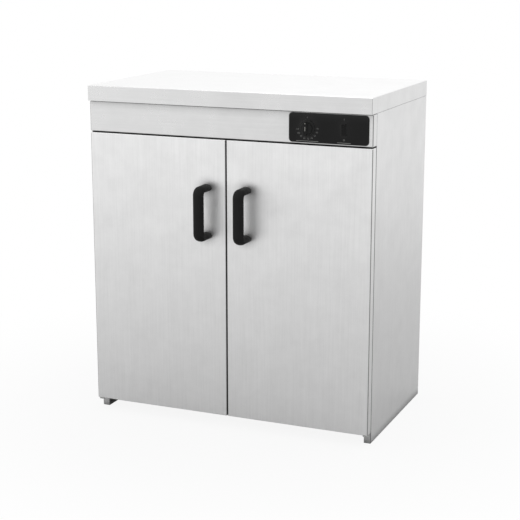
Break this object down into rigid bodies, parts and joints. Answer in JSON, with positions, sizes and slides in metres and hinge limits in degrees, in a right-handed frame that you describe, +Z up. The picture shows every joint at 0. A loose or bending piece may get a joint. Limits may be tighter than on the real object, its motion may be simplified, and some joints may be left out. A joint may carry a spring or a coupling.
{
  "type": "plate warmer cabinet",
  "caption": "Counter-height stainless hot cupboard: two pivot-hinged insulated doors, thermostat knob, rocker switch, wire shelf and a heated base under a lift-out deck.",
  "frame": {"origin": "on the floor, under the middle of the whole cabinet with its handles and cable gland", "axes": "+Z up, the doors face -Y, +X to the right of someone facing the doors"},
  "size_m": [0.75, 0.511, 0.855],
  "materials": {
    "brushed_stainless": "satin brushed",
    "liner_stainless": "mill finish",
    "polished_wire": "bright",
    "zinc_plated_steel": "bright zinc plate",
    "mineral_wool": "matte fibrous board",
    "black_moulding": "fine-grained moulding",
    "control_plate_black": "satin black",
    "pointer_white": "matte white",
    "natural_nylon": "natural nylon",
    "element_sheath": "oxidised sheath",
    "copper_capillary": "bright copper",
    "catch_case": "matte moulding"
  },
  "bodies": {
    "cabinet": {"back_board": "mineral_wool", "back_liner": "liner_stainless", "back_panel": "brushed_stainless", "back_panel_screws": "zinc_plated_steel", "base_pan": "liner_stainless", "bulb_clips": "liner_stainless", "cable_gland": "black_moulding", "capillary": "copper_capillary", "ceiling_board": "mineral_wool", "chamber_ceiling": "liner_stainless", "control_plate": "control_plate_black", "element_brackets": "liner_stainless", "front_fascia": "brushed_stainless", "gland_locknut": "black_moulding", "heating_element": "element_sheath", "left_bottom_hinge_bracket": "zinc_plated_steel", "left_bottom_pin": "zinc_plated_steel", "left_shelf_racks": "liner_stainless", "left_side_liner": "liner_stainless", "left_side_panel": "brushed_stainless", "left_top_pivot": "zinc_plated_steel", "left_wall_board": "mineral_wool", "magnet_catches": "catch_case", "pivot_washers": "black_moulding", "right_bottom_hinge_bracket": "zinc_plated_steel", "right_bottom_pin": "zinc_plated_steel", "right_shelf_racks": "liner_stainless", "right_side_liner": "liner_stainless", "right_side_panel": "brushed_stainless", "right_top_pivot": "zinc_plated_steel", "right_wall_board": "mineral_wool", "shelf_clips": "liner_stainless", "switch_body": "black_moulding", "terminal_block": "natural_nylon", "thermostat_body": "zinc_plated_steel", "worktop": "brushed_stainless", "worktop_screws": "zinc_plated_steel", "worktop_stiffeners": "liner_stainless"},
    "left_door": {"left_door_skin": "brushed_stainless", "left_door_liner": "liner_stainless", "left_door_board": "mineral_wool", "left_door_bushes": "black_moulding", "left_door_handle": "black_moulding", "left_handle_screws": "zinc_plated_steel", "left_strike_plate": "zinc_plated_steel"},
    "right_door": {"right_door_skin": "brushed_stainless", "right_door_liner": "liner_stainless", "right_door_board": "mineral_wool", "right_door_bushes": "black_moulding", "right_door_handle": "black_moulding", "right_handle_screws": "zinc_plated_steel", "right_strike_plate": "zinc_plated_steel"},
    "thermostat_control": {"thermostat_knob": "black_moulding", "knob_pointer": "pointer_white", "thermostat_spindle": "zinc_plated_steel"},
    "rocker": {"switch_rocker": "black_moulding"},
    "removable_shelf": {"wire_shelf": "polished_wire"},
    "lift_out_deck": {"perforated_deck": "liner_stainless"}
  },
  "joints": [
    {"name": "left_door_hinge", "type": "hinge", "parent": "cabinet", "child": "left_door", "pos_m": [-0.367, -0.1895, 0.3825], "axis": [0, 0, -1], "range_deg": [0, 180]},
    {"name": "right_door_hinge", "type": "hinge", "parent": "cabinet", "child": "right_door", "pos_m": [0.367, -0.1895, 0.3825], "axis": [0, 0, 1], "range_deg": [0, 180]},
    {"name": "thermostat_turn", "type": "hinge", "parent": "cabinet", "child": "thermostat_control", "pos_m": [0.212, -0.2007, 0.776], "axis": [0, 1, 0], "range_deg": [0, 262]},
    {"name": "power_rocker", "type": "hinge", "parent": "cabinet", "child": "rocker", "pos_m": [0.3035, -0.2007, 0.7765], "axis": [-1, 0, 0], "range_deg": [0, 14]},
    {"name": "shelf_lift", "type": "slide", "parent": "cabinet", "child": "removable_shelf", "axis": [0, 0, 1], "range_m": [0, 0.25]},
    {"name": "deck_lift", "type": "slide", "parent": "cabinet", "child": "lift_out_deck", "axis": [0, 0, 1], "range_m": [0, 0.08]}
  ]
}
